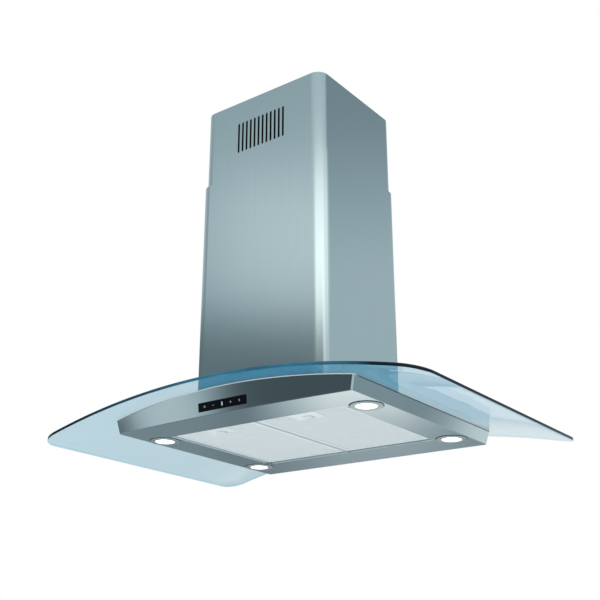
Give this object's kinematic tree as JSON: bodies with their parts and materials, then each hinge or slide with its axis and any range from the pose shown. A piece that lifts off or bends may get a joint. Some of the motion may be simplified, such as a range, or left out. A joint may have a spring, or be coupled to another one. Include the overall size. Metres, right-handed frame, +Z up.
{
  "type": "range hood",
  "caption": "Ceiling-hung range hood: telescopic steel chimney over an arched glass canopy and a slim body with hinged grease filters, lamps and push keys.",
  "frame": {"origin": "centre of the ceiling plate's top face, on the chimney's axis and in the ceiling's plane", "axes": "+Z up into the ceiling; -Y towards the controls; +X to the right as seen by someone facing the controls"},
  "size_m": [0.9, 0.6257, 0.7446],
  "materials": {
    "black_gloss": "black gloss",
    "black_plastic": "moulded, fine texture",
    "black_rubber": "moulded rubber",
    "canopy_glass": "toughened float glass, polished edges, pale blue-green tint",
    "chrome_trim": "polished chrome",
    "circuit_green": "solder mask",
    "core_steel": "stacked laminations",
    "display_black": "smoked window",
    "filter_aluminium": "bright anodised frame and mesh",
    "grey_plastic": "moulded, fine texture",
    "lamp_glass": "frosted lens, lit from behind",
    "motor_aluminium": "die cast",
    "stainless": "brushed stainless steel, fine vertical grain",
    "steel_fastener": "zinc plated",
    "white_seal": "pale silicone",
    "zinc_steel": "galvanised sheet steel, dull spangle"
  },
  "bodies": {
    "ceiling_frame": {"ceiling_plate": "zinc_steel", "upper_posts": "zinc_steel", "upper_braces": "zinc_steel", "upper_chimney": "stainless", "hanger_clips": "zinc_steel", "clamp_screws": "steel_fastener", "clamp_nuts": "steel_fastener"},
    "hood": {"body_shell": "stainless", "bottom_panel": "stainless", "cable_gland": "black_plastic", "capacitor": "motor_aluminium", "chassis_screws": "steel_fastener", "control_bezel": "black_gloss", "control_board": "circuit_green", "damper_pin": "steel_fastener", "display_window": "display_black", "filter_divider": "stainless", "glass_canopy": "canopy_glass", "glass_clamp_frame": "zinc_steel", "glass_gasket": "white_seal", "glass_grommets": "black_rubber", "glass_screws": "steel_fastener", "junction_box": "black_plastic", "key_switches": "black_plastic", "lamp_driver": "grey_plastic", "lamp_housings": "motor_aluminium", "lamp_lens_front_left": "lamp_glass", "lamp_lens_front_right": "lamp_glass", "lamp_lens_rear_left": "lamp_glass", "lamp_lens_rear_right": "lamp_glass", "lamp_ring_front_left": "chrome_trim", "lamp_ring_front_right": "chrome_trim", "lamp_ring_rear_left": "chrome_trim", "lamp_ring_rear_right": "chrome_trim", "lower_posts": "zinc_steel", "motor_bearings": "steel_fastener", "motor_box": "zinc_steel", "motor_bracket": "zinc_steel", "motor_housing": "motor_aluminium", "outlet_collar": "black_plastic", "scroll_cover": "grey_plastic", "scroll_housing": "grey_plastic", "stator_core": "core_steel", "top_lid": "stainless"},
    "lower_chimney": {"lower_chimney": "stainless"},
    "fan_rotor": {"impeller": "black_plastic", "rotor_shaft": "steel_fastener"},
    "damper_front": {"damper_flap_front": "grey_plastic"},
    "damper_rear": {"damper_flap_rear": "grey_plastic"},
    "filter_left": {"filter_frame_left": "filter_aluminium", "filter_mesh_left": "filter_aluminium"},
    "filter_right": {"filter_frame_right": "filter_aluminium", "filter_mesh_right": "filter_aluminium"},
    "latch_left": {"filter_latch_left": "chrome_trim"},
    "latch_right": {"filter_latch_right": "chrome_trim"},
    "key_1": {"push_key_1": "black_gloss"},
    "key_2": {"push_key_2": "black_gloss"},
    "key_3": {"push_key_3": "black_gloss"},
    "key_4": {"push_key_4": "black_gloss"}
  },
  "joints": [
    {"name": "hood_height", "type": "slide", "parent": "ceiling_frame", "child": "hood", "axis": [0, 0, 1], "range_m": [-0.2, 0]},
    {"name": "lower_chimney_lift", "type": "slide", "parent": "hood", "child": "lower_chimney", "axis": [0, 0, 1], "range_m": [0, 0.15]},
    {"name": "fan_spin", "type": "hinge", "parent": "hood", "child": "fan_rotor", "pos_m": [0, -0.02, -0.56], "axis": [1, 0, 0], "continuous": true},
    {"name": "damper_front_swing", "type": "hinge", "parent": "hood", "child": "damper_front", "pos_m": [0, 0.02, -0.3965], "axis": [-1, 0, 0], "range_deg": [0, 80]},
    {"name": "damper_rear_swing", "type": "hinge", "parent": "hood", "child": "damper_rear", "pos_m": [0, 0.02, -0.3965], "axis": [1, 0, 0], "range_deg": [0, 80]},
    {"name": "filter_left_swing", "type": "hinge", "parent": "hood", "child": "filter_left", "pos_m": [-0.10625, 0.17, -0.7295], "axis": [1, 0, 0], "range_deg": [0, 75]},
    {"name": "latch_left_slide", "type": "slide", "parent": "filter_left", "child": "latch_left", "axis": [0, 1, 0], "range_m": [0, 0.007]},
    {"name": "filter_right_swing", "type": "hinge", "parent": "hood", "child": "filter_right", "pos_m": [0.10625, 0.17, -0.7295], "axis": [1, 0, 0], "range_deg": [0, 75]},
    {"name": "latch_right_slide", "type": "slide", "parent": "filter_right", "child": "latch_right", "axis": [0, 1, 0], "range_m": [0, 0.007]},
    {"name": "key_1_press", "type": "slide", "parent": "hood", "child": "key_1", "axis": [0, 0.9915, 0.1299], "range_m": [0, 0.0012], "stiffness_N_per_m": 300, "springref_m": -0.001},
    {"name": "key_2_press", "type": "slide", "parent": "hood", "child": "key_2", "axis": [0, 0.9915, 0.1299], "range_m": [0, 0.0012], "stiffness_N_per_m": 300, "springref_m": -0.001},
    {"name": "key_3_press", "type": "slide", "parent": "hood", "child": "key_3", "axis": [0, 0.9915, 0.1299], "range_m": [0, 0.0012], "stiffness_N_per_m": 300, "springref_m": -0.001},
    {"name": "key_4_press", "type": "slide", "parent": "hood", "child": "key_4", "axis": [0, 0.9915, 0.1299], "range_m": [0, 0.0012], "stiffness_N_per_m": 300, "springref_m": -0.001}
  ],
  "couplings": [
    {"joint": "latch_left_slide", "follows": "filter_left_swing", "m_per_rad": 0.00534},
    {"joint": "latch_right_slide", "follows": "filter_right_swing", "m_per_rad": 0.00534}
  ]
}
